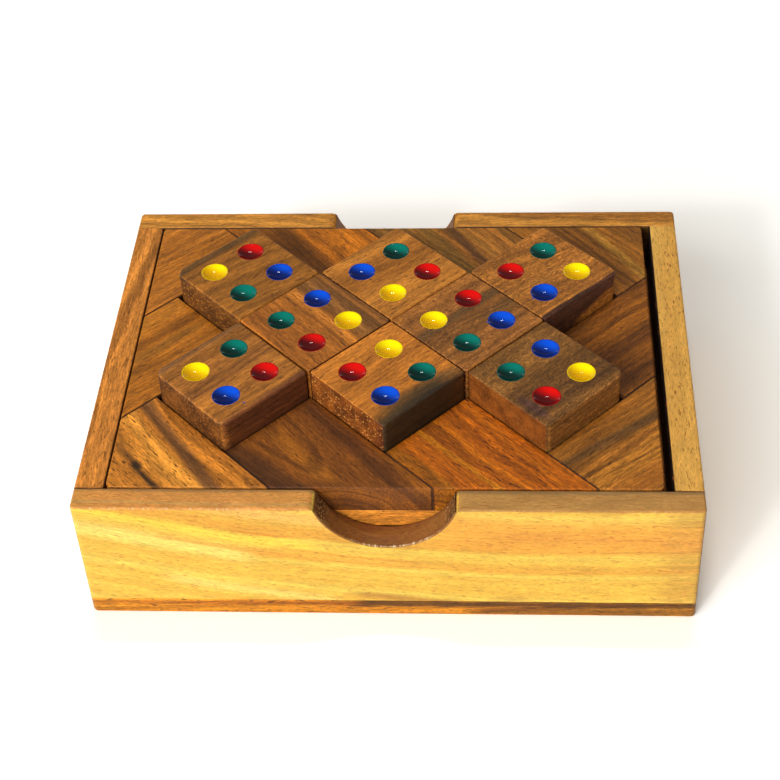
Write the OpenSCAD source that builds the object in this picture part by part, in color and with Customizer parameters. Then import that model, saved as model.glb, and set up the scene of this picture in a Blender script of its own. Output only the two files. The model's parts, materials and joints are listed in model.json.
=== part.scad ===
// Hardwood tray box with a lift-out board that frames eight square dotted tiles.
// The box stands on Z = 0 with its middle at the origin. The front is -Y and the right is +X.

/* [Tiles] */
// Side of a square tile
tile_side = 29.8; // [26:0.1:34]
// Gap between two tiles, and twice the gap between a tile and the board
tile_gap = 0.6; // [0.3:0.05:1.2]
// Height of a tile above the board
tile_proud = 9.5; // [4:0.5:14]
// Radius of a tile's upright corners
tile_corner_r = 1.5; // [0.8:0.1:2.5]
// Radius of a tile's top and bottom edges
tile_edge_r = 0.7; // [0.3:0.1:1.2]

/* [Dots] */
// Diameter of a painted dish
dot_d = 7; // [5:0.1:9]
// Depth of the dish in the wood
dot_depth = 1.9; // [1.2:0.1:3]
// Distance of a dot from the tile's two centre lines
dot_offset = 6.7; // [5.6:0.1:7.8]
// Thickness of the paint at the bottom of the dish
paint_t = 0.35; // [0.2:0.05:0.6]
// Thickness of the paint at the rim of the dish
paint_rim_t = 0.15; // [0.1:0.05:0.3]

/* [Board] */
// Thickness of the diagonal strips, which is also the depth of the recess
strip_t = 8.5; // [5:0.5:14]
// Thickness of the panel under the strips
panel_t = 6; // [4:0.5:10]
// Wood left between the outermost tile corners and the board's left and right edges
margin_side = 8.7; // [5:0.1:20]
// Wood left between the outermost tile corners and the board's front and back edges
margin_end = 12.2; // [5:0.1:24]
// Distance that the recess lies behind the board's middle
pattern_shift = 0.9; // [-3:0.1:3]
// Radius of the edges round the top of the whole board
board_edge_r = 0.5; // [0.4:0.1:1]
// Radius of the strips' top edges where they meet each other and the tiles
strip_edge_r = 0.3; // [0.1:0.05:0.35]
// Radius of the board's upright corners
board_corner_r = 0.8; // [0.3:0.1:3]

/* [Box] */
// Thickness of the left and right walls
side_wall_t = 8; // [5:0.5:12]
// Thickness of the front and back walls
end_wall_t = 7.5; // [5:0.5:12]
// Thickness of the base
base_t = 6; // [4:0.5:10]
// Depth of the storage space under the board
storage_h = 21.5; // [15:0.5:40]
// Gap between the board and the left wall
gap_left = 0.3; // [0.3:0.1:3]
// Gap between the board and the right wall
gap_right = 2.2; // [0.3:0.1:4]
// Gap between the board and the front or back wall
gap_end = 0.4; // [0.3:0.1:2]
// Radius of the box's upright corners
box_corner_r = 1.4; // [0.6:0.1:4]
// Radius of the walls' top edges
wall_edge_r = 0.7; // [0.3:0.1:2]
// Radius of the base's lower edges
base_edge_r = 1.2; // [0.5:0.1:3]
// Radius of the edges along the seam between walls and base
seam_edge_r = 0.3; // [0.1:0.1:0.8]

/* [Finger notches] */
// Radius of the arc of a notch
notch_r = 19; // [14:0.5:26]
// Depth of a notch below the wall's top
notch_depth = 14; // [8:0.5:14]
// Radius where a notch runs out into the wall's top
notch_lip_r = 1.2; // [0.5:0.1:4]
// Distance of the back notch from the box's middle, to the right
back_notch_x = -3; // [-20:0.5:20]

/* [Cleats] */
// Width of a cleat, which is how far it reaches under the board
cleat_w = 5; // [4:0.5:12]
// Height of a cleat
cleat_h = 6; // [3:0.5:12]

/* [Hidden] */
$fn = 96;
eps = 1;

// The board is cut to the nearest tenth of a millimetre.
function cut_to_tenth(length) = round(length * 10) / 10;

pitch = tile_side + tile_gap;
tile_t = strip_t + tile_proud;
half_reach_x = 1.5 * sqrt(2) * pitch;
half_reach_y = sqrt(2) * pitch;
board_w = cut_to_tenth(2 * (half_reach_x + margin_side));
board_d = cut_to_tenth(2 * (half_reach_y + margin_end));
inner_w = board_w + gap_left + gap_right;
inner_d = board_d + 2 * gap_end;
box_w = inner_w + 2 * side_wall_t;
box_d = inner_d + 2 * end_wall_t;
wall_h = storage_h + panel_t + strip_t;
box_h = base_t + wall_h;

board_x = (gap_left - gap_right) / 2;
panel_z = base_t + storage_h;
recess_z = panel_z + panel_t;

// A dish is a cap of a sphere whose centre lies above the tile's top.
function cap_r(rim_r, depth) = (rim_r * rim_r + depth * depth) / (2 * depth);
dish_r = cap_r(dot_d / 2, dot_depth);
paint_depth = dot_depth - paint_t;
paint_r = cap_r(dot_d / 2 - paint_rim_t, paint_depth);

// Height of a notch's centre above the wall's top, and depth of its lips' centres below it.
// A lip is an arc that leaves the notch smoothly and meets the top at a slight angle.
notch_rise = notch_r - notch_depth;
notch_half_w = sqrt(notch_r * notch_r - notch_rise * notch_rise);
lip_drop = 0.9 * notch_lip_r;
lip_x = sqrt(pow(notch_r + notch_lip_r, 2) - pow(notch_rise + lip_drop, 2));
lip_touch = notch_r / (notch_r + notch_lip_r);

// Places on the board are counted in tile pitches along the two diagonals:
// u runs to the back right and v to the back left.
past_edge = board_w / pitch;

// Name, centre [u, v], and the colours of the left, back, right and front dots.
TILES = [
    ["back_left", [-0.5, 1.5], ["yellow", "red", "blue", "green"]],
    ["back_middle", [0.5, 0.5], ["blue", "green", "red", "yellow"]],
    ["back_right", [1.5, -0.5], ["red", "green", "yellow", "blue"]],
    ["centre_left", [-0.5, 0.5], ["green", "blue", "yellow", "red"]],
    ["centre_right", [0.5, -0.5], ["yellow", "red", "blue", "green"]],
    ["front_left", [-1.5, 0.5], ["yellow", "green", "red", "blue"]],
    ["front_middle", [-0.5, -0.5], ["red", "yellow", "green", "blue"]],
    ["front_right", [0.5, -1.5], ["green", "blue", "yellow", "red"]]
];
// Directions [u, v] of the left, back, right and front dots from the tile's middle.
DOT_SIDES = [[-1, 1], [1, 1], [1, -1], [-1, -1]];

// Name, [lowest u, highest u], [lowest v, highest v] and tone of each strip.
STRIPS = [
    ["back_left_corner", [-past_edge, 0], [2, past_edge], "sienna"],
    ["left_middle", [-past_edge, -1], [1, 2], "sienna"],
    ["front_left_corner", [-past_edge, -2], [-past_edge, 1], "peru"],
    ["front_left", [-2, -1], [-past_edge, 0], "saddlebrown"],
    ["front_right", [-1, 0], [-past_edge, -1], "sienna"],
    ["front_right_corner", [0, past_edge], [-past_edge, -2], "peru"],
    ["right_middle", [1, past_edge], [-2, -1], "sienna"],
    ["back_right_corner", [2, past_edge], [-1, past_edge], "saddlebrown"],
    ["back_right", [1, 2], [0, past_edge], "sienna"],
    ["back_left", [0, 1], [1, past_edge], "saddlebrown"]
];

// The enamel colours: what is written in TILES, and the paint itself.
function enamel(name) =
    name == "red" ? [0.85, 0.07, 0.10] :
    name == "yellow" ? [1, 0.87, 0] :
    name == "blue" ? [0.02, 0.25, 0.87] : [0, 0.40, 0.34];

// A rectangle with round corners, centred.
module round_rect(w, d, r) {
    square([w - 2 * r, d], center = true);
    square([w, d - 2 * r], center = true);
    for (x = [r - w / 2, w / 2 - r], y = [r - d / 2, d / 2 - r])
        translate([x, y]) circle(r);
}

// A section that stands on the line y = 0, with its two upper corners round.
module topped(w, h, r) {
    translate([-w / 2, 0]) square([w, h - r]);
    translate([r - w / 2, 0]) square([w - 2 * r, h]);
    for (x = [r - w / 2, w / 2 - r])
        translate([x, h - r]) circle(r);
}

// The same with its lower corners round too, by their own radius, unless that is 0.
module section(w, h, top_r, bottom_r) {
    intersection() {
        topped(w, h, top_r);
        if (bottom_r > 0)
            translate([0, h]) mirror([0, 1]) topped(w, h, bottom_r);
        else
            translate([-w / 2, 0]) square([w, h]);
    }
}

// Pushes a section out along X or along Y, centred; the section's own y is the height.
module along_x(length) {
    rotate([90, 0, 90]) translate([0, 0, -length / 2]) linear_extrude(length) children();
}
module along_y(length) {
    rotate([90, 0, 0]) translate([0, 0, -length / 2]) linear_extrude(length) children();
}

// A slab on z = 0 with round upper and lower edges on all four sides.
module slab(w, d, h, top_r, bottom_r) {
    intersection() {
        along_y(d) section(w, h, top_r, bottom_r);
        along_x(w) section(d, h, top_r, bottom_r);
    }
}

// The same with round upright corners.
module board_stock(w, d, h, corner_r, top_r, bottom_r) {
    intersection() {
        slab(w, d, h, top_r, bottom_r);
        linear_extrude(h) round_rect(w, d, corner_r);
    }
}

// Carries things to the middle of the board, turned onto the diagonals.
module on_board(z) {
    translate([board_x, pattern_shift, z]) rotate(45) children();
}

module base_panel() {
    color("sienna")
        board_stock(box_w, box_d, base_t, box_corner_r, seam_edge_r, base_edge_r);
}

// The opening of a finger notch in the plane of a wall, with its middle at x = 0 and the wall's top at y = 0.
module notch_shape() {
    difference() {
        union() {
            translate([0, notch_rise]) circle(notch_r);
            for (side = [-1, 1])
                polygon([
                    [side * lip_x, eps],
                    [side * lip_x, -lip_drop],
                    [side * lip_x * lip_touch, notch_rise - (notch_rise + lip_drop) * lip_touch],
                    [side * (notch_half_w - eps), eps]
                ]);
        }
        for (side = [-1, 1])
            translate([side * lip_x, -lip_drop]) circle(notch_lip_r);
    }
}

// A front or back wall, with its outer face towards -Y and its notch at notch_x.
module end_wall(notch_x) {
    difference() {
        intersection() {
            translate([0, (end_wall_t - box_d) / 2, base_t])
                slab(box_w, end_wall_t, wall_h, wall_edge_r, seam_edge_r);
            translate([0, 0, base_t]) linear_extrude(wall_h) round_rect(box_w, box_d, box_corner_r);
        }
        translate([notch_x, (end_wall_t - box_d) / 2, box_h]) along_y(end_wall_t + 2 * eps) notch_shape();
    }
}
module front_wall() {
    color("goldenrod") end_wall(0);
}
module back_wall() {
    color("peru") rotate(180) end_wall(-back_notch_x);
}

// A side wall and its cleat; side is -1 for the left and 1 for the right.
module side_wall(side) {
    translate([side * (inner_w + side_wall_t) / 2, 0, base_t])
        along_y(inner_d) section(side_wall_t, wall_h, wall_edge_r, seam_edge_r);
}
module left_wall() {
    color("sienna") side_wall(-1);
}
module right_wall() {
    color("burlywood") side_wall(1);
}
module cleat(side) {
    translate([side * (inner_w - cleat_w) / 2, 0, panel_z - cleat_h])
        along_y(inner_d) section(cleat_w, cleat_h, seam_edge_r, seam_edge_r);
}
module left_cleat() {
    color("peru") cleat(-1);
}
module right_cleat() {
    color("peru") cleat(1);
}

module board_panel() {
    color("orange")
        translate([board_x, 0, panel_z])
            board_stock(board_w, board_d, panel_t, board_corner_r, seam_edge_r, seam_edge_r);
}

// A strip is the part of the board's outline that lies between its bounds along u and v.
module strip(s) {
    u = s[1] * pitch;
    v = s[2] * pitch;
    color(s[3])
        intersection() {
            translate([board_x, 0, recess_z])
                board_stock(board_w, board_d, strip_t, board_corner_r, board_edge_r, 0);
            on_board(recess_z)
                translate([(u[0] + u[1]) / 2, (v[0] + v[1]) / 2])
                    slab(u[1] - u[0], v[1] - v[0], strip_t, strip_edge_r, 0);
        }
}

// Carries things to the place of a tile, or of one of its dots on the tile's top.
module at_tile(t) {
    on_board(recess_z) translate(t[1] * pitch) children();
}
module at_dot(side) {
    translate([side[0] * dot_offset, side[1] * dot_offset, tile_t]) children();
}

// The ball whose lower cap is a dish of radius r and the given depth.
module dish_ball(r, depth) {
    translate([0, 0, r - depth]) sphere(r);
}

module tile(t) {
    color("chocolate")
        at_tile(t)
            difference() {
                board_stock(tile_side, tile_side, tile_t, tile_corner_r, tile_edge_r, tile_edge_r);
                for (side = DOT_SIDES)
                    at_dot(side) dish_ball(dish_r, dot_depth);
            }
}

// The coat of paint in the dish on one side of a tile.
module dot(t, side_index) {
    color(enamel(t[2][side_index]))
        at_tile(t) at_dot(DOT_SIDES[side_index])
            difference() {
                intersection() {
                    dish_ball(dish_r, dot_depth);
                    translate([0, 0, -dot_depth - eps]) cylinder(h = dot_depth + eps, r = dot_d);
                }
                dish_ball(paint_r, paint_depth);
            }
}

base_panel();
front_wall();
back_wall();
left_wall();
right_wall();
left_cleat();
right_cleat();
board_panel();
for (s = STRIPS)
    strip(s);
for (t = TILES)
    tile(t);
for (t = TILES, i = [0 : 3])
    dot(t, i);
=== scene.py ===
"""Dresses the tile puzzle box in finished hardwood and enamel, and sets a plain studio round it."""
import json
import logging
import math
import random
from collections.abc import Callable
from dataclasses import dataclass, field, replace
from enum import Enum

import bpy
from mathutils import Euler, Matrix, Vector

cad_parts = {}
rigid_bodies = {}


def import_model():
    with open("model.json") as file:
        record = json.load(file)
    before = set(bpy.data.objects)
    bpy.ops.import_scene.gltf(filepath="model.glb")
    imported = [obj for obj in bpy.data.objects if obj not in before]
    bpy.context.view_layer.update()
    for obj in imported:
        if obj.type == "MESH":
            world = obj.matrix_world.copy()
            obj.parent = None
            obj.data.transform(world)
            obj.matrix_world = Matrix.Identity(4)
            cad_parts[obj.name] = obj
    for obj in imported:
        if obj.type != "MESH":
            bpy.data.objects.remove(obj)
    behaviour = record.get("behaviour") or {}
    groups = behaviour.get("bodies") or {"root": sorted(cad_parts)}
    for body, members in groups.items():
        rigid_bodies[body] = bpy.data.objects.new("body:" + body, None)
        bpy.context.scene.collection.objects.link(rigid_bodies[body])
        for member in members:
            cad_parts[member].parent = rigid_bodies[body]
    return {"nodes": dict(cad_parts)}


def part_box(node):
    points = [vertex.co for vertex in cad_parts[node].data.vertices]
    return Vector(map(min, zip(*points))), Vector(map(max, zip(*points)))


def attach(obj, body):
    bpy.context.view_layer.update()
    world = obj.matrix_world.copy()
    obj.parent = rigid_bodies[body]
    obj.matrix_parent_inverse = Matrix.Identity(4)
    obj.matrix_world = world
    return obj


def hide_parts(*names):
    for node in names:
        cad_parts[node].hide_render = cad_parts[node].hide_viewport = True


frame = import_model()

LOG = logging.getLogger("tile_box")

# Millimetres to metres. Every size below is in millimetres, and the scene is in metres.
MM = 0.001
# How near counts as touching, and a distance beyond any piece.
NEAR = 0.01
FAR = 400.0
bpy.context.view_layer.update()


# ---------------------------------------------------------------- helpers


def linear(hex_colour: str) -> tuple[float, float, float, float]:
    """Turns an sRGB hex colour into linear light.

    Args:
        hex_colour: The colour, such as "#a0522d".

    Returns:
        Red, green, blue and alpha for a colour socket.
    """
    shares = [int(hex_colour[i:i + 2], 16) / 255 for i in (1, 3, 5)]
    return (*(s / 12.92 if s <= 0.04045 else ((s + 0.055) / 1.055) ** 2.4 for s in shares), 1.0)


def node_box(node: str) -> tuple[Vector, Vector]:
    """Gives a CAD node's lowest and highest corner in millimetres."""
    low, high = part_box(node)
    return low / MM, high / MM


def node_centre(node: str) -> Vector:
    """Gives the middle of a CAD node's box in millimetres."""
    low, high = node_box(node)
    return (low + high) / 2


def turned(degrees: float) -> Matrix:
    """Gives a turn about Z."""
    return Matrix.Rotation(math.radians(degrees), 3, "Z")


class Graph:
    """The shader nodes of a material or of the world.

    A method takes plain values, sockets to link, and nodes, whose first output is then linked.
    """

    def __init__(self, owner: bpy.types.Material | bpy.types.World) -> None:
        """Empties the owner's node tree."""
        owner.use_nodes = True
        self.tree = owner.node_tree
        self.tree.nodes.clear()

    def add(self, kind: str, inputs: dict | None = None, **settings) -> bpy.types.Node:
        """Adds a node with its settings and links.

        Args:
            kind: The node's type without its "ShaderNode" in front.
            inputs: Names or numbers of its sockets, each with what goes in.
            settings: The node's own properties.

        Returns:
            The new node.
        """
        node = self.tree.nodes.new("ShaderNode" + kind)
        for name, value in settings.items():
            setattr(node, name, value)
        for socket, value in (inputs or {}).items():
            if isinstance(value, bpy.types.Node):
                value = value.outputs[0]
            if isinstance(value, bpy.types.NodeSocket):
                self.tree.links.new(value, node.inputs[socket])
            else:
                node.inputs[socket].default_value = value
        return node

    def math(self, operation: str, *values) -> bpy.types.Node:
        """Works something out from one to three numbers."""
        return self.add("Math", dict(enumerate(values)), operation=operation)

    def vector_math(self, operation: str, *values) -> bpy.types.Node:
        """Works something out from one to three vectors."""
        return self.add("VectorMath", dict(enumerate(values)), operation=operation)

    def length(self, vector: bpy.types.Node | bpy.types.NodeSocket) -> bpy.types.NodeSocket:
        """Gives a vector's length."""
        return self.vector_math("LENGTH", vector).outputs["Value"]

    def mix(self, share, under, over) -> bpy.types.Node:
        """Lays a share of one colour over another."""
        return self.add("MixRGB", {"Fac": share, "Color1": under, "Color2": over})

    def ramp(self, value, low: float, high: float, to_low: float = 0.0, to_high: float = 1.0,
             smooth: bool = False) -> bpy.types.Node:
        """Maps one range of values on another.

        Args:
            value: What is mapped.
            low: The value that gives to_low.
            high: The value that gives to_high.
            to_low: The first end of the new range.
            to_high: Its other end.
            smooth: Whether it starts and ends gently.

        Returns:
            The node.
        """
        return self.add("MapRange", {
            "Value": value, "From Min": low, "From Max": high, "To Min": to_low, "To Max": to_high},
            interpolation_type="SMOOTHSTEP" if smooth else "LINEAR")

    def anywhere(self, place: bpy.types.Node, sizes: tuple[float, ...],
                 chance: random.Random) -> bpy.types.Node:
        """Stretches a place for a pattern and shifts it to a chance spot.

        Args:
            place: The place in millimetres.
            sizes: Millimetres that the pattern's unit reaches along the grain, across and up.
            chance: Source of the piece's own figure.

        Returns:
            The node that gives the place in the pattern.
        """
        return self.add("Mapping", {
            "Vector": place, "Location": [chance.uniform(-50, 50) for _ in range(3)],
            "Scale": [1 / size for size in sizes]})

    def cells(self, place: bpy.types.Node, rim: tuple[float, float], lot: tuple[float, float],
              strength: float = 1.0, randomness: float = 1.0) -> bpy.types.Node:
        """Strews round specks, of which only some show.

        Args:
            place: The place in the pattern.
            rim: Distances from a speck's middle at which it starts and is full.
            lot: Range of a speck's chance number over which it comes to show.
            strength: How far a speck covers what is under it.
            randomness: How far the specks lie off a regular grid.

        Returns:
            The node that gives the specks' cover.
        """
        strewn = self.add("TexVoronoi", {"Vector": place, "Scale": 1.0, "Randomness": randomness})
        speck = self.ramp(strewn.outputs["Distance"], *rim, to_high=strength)
        number = self.add("SeparateColor", {"Color": strewn.outputs["Color"]})
        return self.math("MULTIPLY", speck, self.ramp(number, *lot))


# ---------------------------------------------------------------- timber


class Grain(Enum):
    """The way a piece's fibres run, as a turn from +X in degrees."""

    ALONG_X = 0
    ALONG_U = 45
    ALONG_Y = 90
    ALONG_V = 135


@dataclass(frozen=True)
class Spot:
    """What a mark needs to know of the place that it may cover.

    Attributes:
        graph: The material's nodes.
        axes: The place along the grain, across it and up, in millimetres from the piece's middle.
        fray: Noise that frays a mark's edges.
    """

    graph: Graph
    axes: bpy.types.Node
    fray: bpy.types.Node

    def between(self, start: float, end: float, cover: bpy.types.Node) -> bpy.types.Node:
        """Keeps a mark between two places along the grain.

        Args:
            start: Where the mark begins.
            end: Where it ends.
            cover: The mark's cover.

        Returns:
            The node that gives the cover between the two places.
        """
        for edge, way in ((start, 1), (end, -1)):
            if abs(edge) < FAR:
                inside = self.graph.ramp(
                    self.axes.outputs["X"], edge - 4.0 * way, edge + 5.0 * way, smooth=True)
                cover = self.graph.math("MULTIPLY", cover, inside)
        return cover

    def past(self, axis: str, place: float) -> bpy.types.Node:
        """Gives how far beyond a place it lies on one axis."""
        return self.graph.math("SUBTRACT", self.axes.outputs[axis], place)

    def off_notch(self, notch: tuple[float, float, float]) -> bpy.types.Node:
        """Gives the distance from the inside of a round notch.

        Args:
            notch: The notch's place along the grain, the height of its middle, and its radius.

        Returns:
            The node that gives the distance.
        """
        flat = self.graph.add("CombineXYZ", {0: self.past("X", notch[0]), 1: self.past("Z", notch[1])})
        return self.graph.math("SUBTRACT", self.graph.length(flat), notch[2])


@dataclass(frozen=True)
class Mark:
    """Something on the wood that has a colour of its own.

    Attributes:
        colour: Its colour.
        start: Where it begins along the grain, from the piece's middle.
        end: Where it ends along the grain.
    """

    colour: str
    start: float = field(default=-FAR, kw_only=True)
    end: float = field(default=FAR, kw_only=True)


@dataclass(frozen=True)
class Streak(Mark):
    """A band of other-coloured wood that runs with the grain.

    Attributes:
        across: Place of its middle, from the piece's middle: across the grain, or up for a band that
            lies on edge.
        width: Its full width.
        strength: How far it covers the wood's own colour.
        slope: Millimetres that it drifts for each millimetre along the grain.
        blur: Share of its half width over which it fades out.
        on_edge: Whether its place is counted upwards.
    """

    across: float
    width: float
    strength: float = 0.8
    slope: float = 0.0
    blur: float = 0.7
    on_edge: bool = False

    def cover(self, spot: Spot) -> bpy.types.Node:
        """Gives how far the band covers each place.

        Args:
            spot: The place.

        Returns:
            The node that gives the cover.
        """
        graph, half = spot.graph, self.width / 2
        side = spot.axes.outputs["Z" if self.on_edge else "Y"]
        drift = graph.math("MULTIPLY_ADD", spot.axes.outputs["X"], -self.slope, side)
        away = graph.math("ABSOLUTE", graph.math("SUBTRACT", drift, self.across))
        ragged = min(3.0, 0.9 * self.width)
        frayed = graph.math("MULTIPLY_ADD", spot.fray, -ragged, away)
        cover = graph.ramp(frayed, half - ragged / 2, half * (1 - self.blur) - ragged / 2,
                           to_high=self.strength, smooth=True)
        return spot.between(self.start, self.end, cover)


@dataclass(frozen=True)
class Knot(Mark):
    """A small eye in the wood, or a speck of spilt paint.

    Attributes:
        along: Its place along the grain, from the piece's middle.
        across: Its place across the grain.
        length: Its length along the grain.
        width: Its width.
        strength: How far it covers the wood's own colour.
    """

    along: float
    across: float
    length: float
    width: float
    strength: float = 0.9

    def cover(self, spot: Spot) -> bpy.types.Node:
        """Gives how far the eye covers each place.

        Args:
            spot: The place.

        Returns:
            The node that gives the cover.
        """
        graph = spot.graph
        flat = graph.add("CombineXYZ", {0: spot.axes.outputs["X"], 1: spot.axes.outputs["Y"]})
        across, along = 2 / self.width, 2 / self.length
        near = graph.add("Mapping", {
            "Vector": flat, "Location": (-self.along * along, -self.across * across, 0),
            "Scale": (along, across, 1)})
        frayed = graph.math("MULTIPLY_ADD", spot.fray, -1.2, graph.length(near))
        return graph.ramp(frayed, 0.4, -0.25, to_high=self.strength, smooth=True)


@dataclass(frozen=True)
class Arris(Mark):
    """A pale line painted along an edge: a painted highlight where the edge catches the light, together with
    the pale of broken fibres.

    Attributes:
        across: Place of the edge across the grain, from the piece's middle.
        up: Its height, from the piece's middle.
        notch: Place along the grain, height and radius of a notch whose rim is meant instead.
        reach: Millimetres that the pale line reaches from the edge.
        strength: How far it covers the wood's own colour.
    """

    across: float
    up: float = 0.0
    notch: tuple[float, float, float] | None = None
    reach: float = 0.6
    strength: float = 0.7

    def cover(self, spot: Spot) -> bpy.types.Node:
        """Gives how far the painted highlight and pale fibres cover each place.

        Args:
            spot: The place.

        Returns:
            The node that gives the cover.
        """
        graph = spot.graph
        down = spot.off_notch(self.notch) if self.notch else spot.past("Z", self.up)
        away = graph.length(graph.add("CombineXYZ", {0: down, 1: spot.past("Y", self.across)}))
        along = graph.add("CombineXYZ", {0: spot.axes.outputs["X"]})
        teeth = graph.add("TexNoise", {"Vector": along, "Scale": 0.8, "Detail": 4.0, "Roughness": 0.7})
        jagged = graph.math("MULTIPLY_ADD", teeth, -5 * self.reach, away)
        cover = graph.ramp(jagged, -1.8 * self.reach, -2.6 * self.reach, to_high=self.strength, smooth=True)
        return spot.between(self.start, self.end, cover)


@dataclass(frozen=True)
class Face(Mark):
    """A face with a colour laid on it: its own, such as a sawn one that keeps dust and smoke of the saw, or
    painted shade where the face lies in shade.

    Attributes:
        across: Place of an upright face across the grain, from the piece's middle.
        along: Place of an end face along the grain.
        up: Height of a level face, from the piece's middle.
        notch: Place along the grain, height and radius of a notch whose inside is meant.
        depth: Millimetres that the colour goes into the wood.
        strength: How far it covers the wood's own colour.
        patchy: How far it varies from place to place.
    """

    across: float | None = None
    along: float | None = None
    up: float | None = None
    notch: tuple[float, float, float] | None = None
    depth: float = 0.25
    strength: float = 0.8
    patchy: float = 0.0

    def cover(self, spot: Spot) -> bpy.types.Node:
        """Gives how far the colour covers each place.

        Args:
            spot: The place.

        Returns:
            The node that gives the cover.
        """
        if self.notch:
            off = spot.off_notch(self.notch)
        else:
            off = next(spot.past(axis, place) for axis, place in (
                ("X", self.along), ("Y", self.across), ("Z", self.up)) if place is not None)
        inside = spot.graph.ramp(
            spot.graph.math("ABSOLUTE", off), self.depth, 0.6 * self.depth, to_high=self.strength)
        patches = spot.graph.ramp(spot.fray, 0.4, 0.6, to_low=1 - self.patchy)
        return spot.between(self.start, self.end, spot.graph.math("MULTIPLY", inside, patches))


@dataclass(frozen=True)
class Timber:
    """Oiled rain-tree wood, sawn, planed and sanded: interlocked brown grain with open pores.

    Its broad bands show as soft stripes, its pores as short dark dashes along the fibres and as pale
    specks on the end grain. Oil without a gloss coat gives it a weak, broad sheen.

    Attributes:
        dark, mid, light: The tones of the broad bands.
        band: Millimetres between the broad bands.
        wander: Millimetres that the grain wanders off its straight line.
        lines: Strength of the fine growth lines.
        fibres: Strength of the finest streaks.
        shimmer: Strength of the cloudy patches that interlocked fibres give.
        grit: Strength of the finest speckle, drawn as coarse as it needs to show.
        pore: Colour of the open pores.
        pores: Strength of the pore dashes.
        pore_size: Millimetres that pores reach along and across the grain.
        pits: Strength of the few wide open pores.
        lift: How much paler the flecks are, where the plane lifted curly fibres.
        flecks: Strength of the flecks.
        fleck_size: Millimetres that flecks reach along and across the grain.
        curl: Millimetres that flecks and pores curl off the grain.
        end_dark, end_light: Ground and speck colours of the end grain.
        end_specks: Strength of the end grain's specks.
    """

    dark: str = "#84552f"
    mid: str = "#b06c31"
    light: str = "#c8803c"
    band: float = 7.0
    wander: float = 3.0
    lines: float = 0.32
    fibres: float = 0.28
    shimmer: float = 0.2
    grit: float = 0.2
    pore: str = "#3a1c0c"
    pores: float = 0.6
    pore_size: tuple[float, float] = (4.2, 0.42)
    pits: float = 0.5
    lift: float = 1.6
    flecks: float = 0.15
    fleck_size: tuple[float, float] = (3.4, 0.5)
    curl: float = 0.15
    end_dark: str = "#5a3016"
    end_light: str = "#c07c3c"
    end_specks: float = 0.9


# Noise drawn out along the fibres: millimetres along and across them, and its detail.
NOISES = {
    "threads": (7, 0.45, 3.0), "clouds": (13, 4.5, 2.0), "curls": (4.5, 3.0, 1.0), "grit": (1.3, 0.5, 1.0)}
# The wide pores' size along, across and up, and the end grain's specks, drawn coarse enough to show.
PIT_SIZE = (5.5, 1.7, 1.7)
SPECK_SIZE = (5, 1.0, 0.8)
# Size along, across and up of the waves in which the grain wanders.
WAVE_SIZE = (60, 22, 22)


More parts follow.
